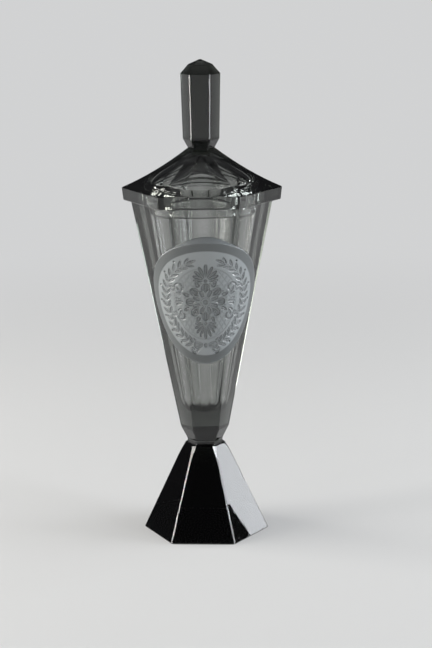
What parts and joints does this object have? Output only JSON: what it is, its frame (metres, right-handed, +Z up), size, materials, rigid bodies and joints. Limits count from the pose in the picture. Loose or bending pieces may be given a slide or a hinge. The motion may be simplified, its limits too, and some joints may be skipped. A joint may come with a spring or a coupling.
{
  "type": "covered glass vase",
  "caption": "Six-sided covered vase of smoke-grey cut crystal with a raised frosted medallion and a lift-off lid with a prism finial.",
  "frame": {"origin": "middle of the foot's underside, on the surface the vase stands on", "axes": "+Z up along the vase's own axis, -Y towards the medallion, +X to the right as the medallion is faced"},
  "size_m": [0.1056, 0.0964, 0.32],
  "materials": {
    "smoke_glass": "polished cut crystal, neutral smoke grey",
    "dark_smoke_glass": "polished cut crystal, solid and dark smoke grey",
    "frosted_glass": "matte engraved crystal"
  },
  "bodies": {
    "vase": {"foot": "dark_smoke_glass", "neck": "dark_smoke_glass", "bowl": "smoke_glass", "medallion": "frosted_glass"},
    "lid": {"lid_cover": "smoke_glass", "lid_ring": "smoke_glass", "finial": "dark_smoke_glass"}
  },
  "joints": [
    {"name": "lid_lift", "type": "slide", "parent": "vase", "child": "lid", "axis": [0, 0, 1], "range_m": [0, 0.06]}
  ]
}
